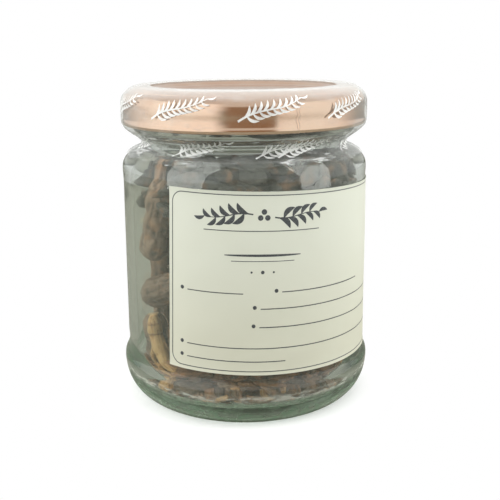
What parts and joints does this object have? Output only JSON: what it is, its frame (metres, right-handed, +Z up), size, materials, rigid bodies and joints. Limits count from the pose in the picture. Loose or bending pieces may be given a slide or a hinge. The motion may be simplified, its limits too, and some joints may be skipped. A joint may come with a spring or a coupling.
{
  "type": "jar of dried ginseng root",
  "caption": "Round glass jar with a twist-off metal lid, clear shrink band and paper label, filled with dried ginseng roots, rootlets and cut pieces.",
  "frame": {"origin": "centre of the ring that the jar stands on", "axes": "+Z up along the jar's axis, -Y towards the front, where the label's text side faces"},
  "size_m": [0.0754, 0.0754, 0.0933],
  "materials": {
    "jar_glass": "clear soda-lime glass with a faint grey-green cast",
    "lid_metal": "satin copper lacquer on tinplate",
    "lid_seal": "soft moulded compound",
    "shrink_film": "thin clear film with a white sprig print, shrunk on",
    "label_paper": "matt cream paper with a thin ruled border",
    "root_bark": "dry wrinkled brown bark, waxy on the ridges",
    "rootlet_bark": "dry pale tan fibre"
  },
  "bodies": {
    "root": {"cut_piece_01": "root_bark", "cut_piece_02": "root_bark", "cut_piece_03": "root_bark", "cut_piece_04": "root_bark", "cut_piece_05": "root_bark", "cut_piece_06": "root_bark", "cut_piece_07": "root_bark", "cut_piece_08": "root_bark", "cut_piece_09": "root_bark", "cut_piece_10": "root_bark", "cut_piece_11": "root_bark", "cut_piece_12": "root_bark", "cut_piece_13": "root_bark", "cut_piece_14": "root_bark", "cut_piece_15": "root_bark", "jar_glass": "jar_glass", "label": "label_paper", "lid": "lid_metal", "lid_seal": "lid_seal", "root_piece_01": "root_bark", "root_piece_02": "root_bark", "root_piece_03": "root_bark", "root_piece_04": "root_bark", "root_piece_05": "root_bark", "root_piece_06": "root_bark", "root_piece_07": "root_bark", "root_piece_back_left": "root_bark", "root_piece_front": "root_bark", "root_piece_low_front": "root_bark", "root_piece_low_left": "root_bark", "root_piece_low_right": "root_bark", "rootlet_01": "rootlet_bark", "rootlet_02": "rootlet_bark", "rootlet_03": "rootlet_bark", "rootlet_04": "rootlet_bark", "rootlet_05": "rootlet_bark", "rootlet_06": "rootlet_bark", "rootlet_07": "rootlet_bark", "rootlet_08": "rootlet_bark", "rootlet_09": "rootlet_bark", "rootlet_10": "rootlet_bark", "rootlet_11": "rootlet_bark", "rootlet_12": "rootlet_bark", "rootlet_13": "rootlet_bark", "rootlet_14": "rootlet_bark", "rootlet_15": "rootlet_bark", "rootlet_16": "rootlet_bark", "rootlet_17": "rootlet_bark", "rootlet_18": "rootlet_bark", "rootlet_front": "rootlet_bark", "shrink_band": "shrink_film", "whole_root_01": "root_bark", "whole_root_02": "root_bark", "whole_root_03": "root_bark", "whole_root_04": "root_bark", "whole_root_05": "root_bark", "whole_root_06": "root_bark", "whole_root_front": "root_bark", "whole_root_left": "root_bark"}
  },
  "joints": []
}
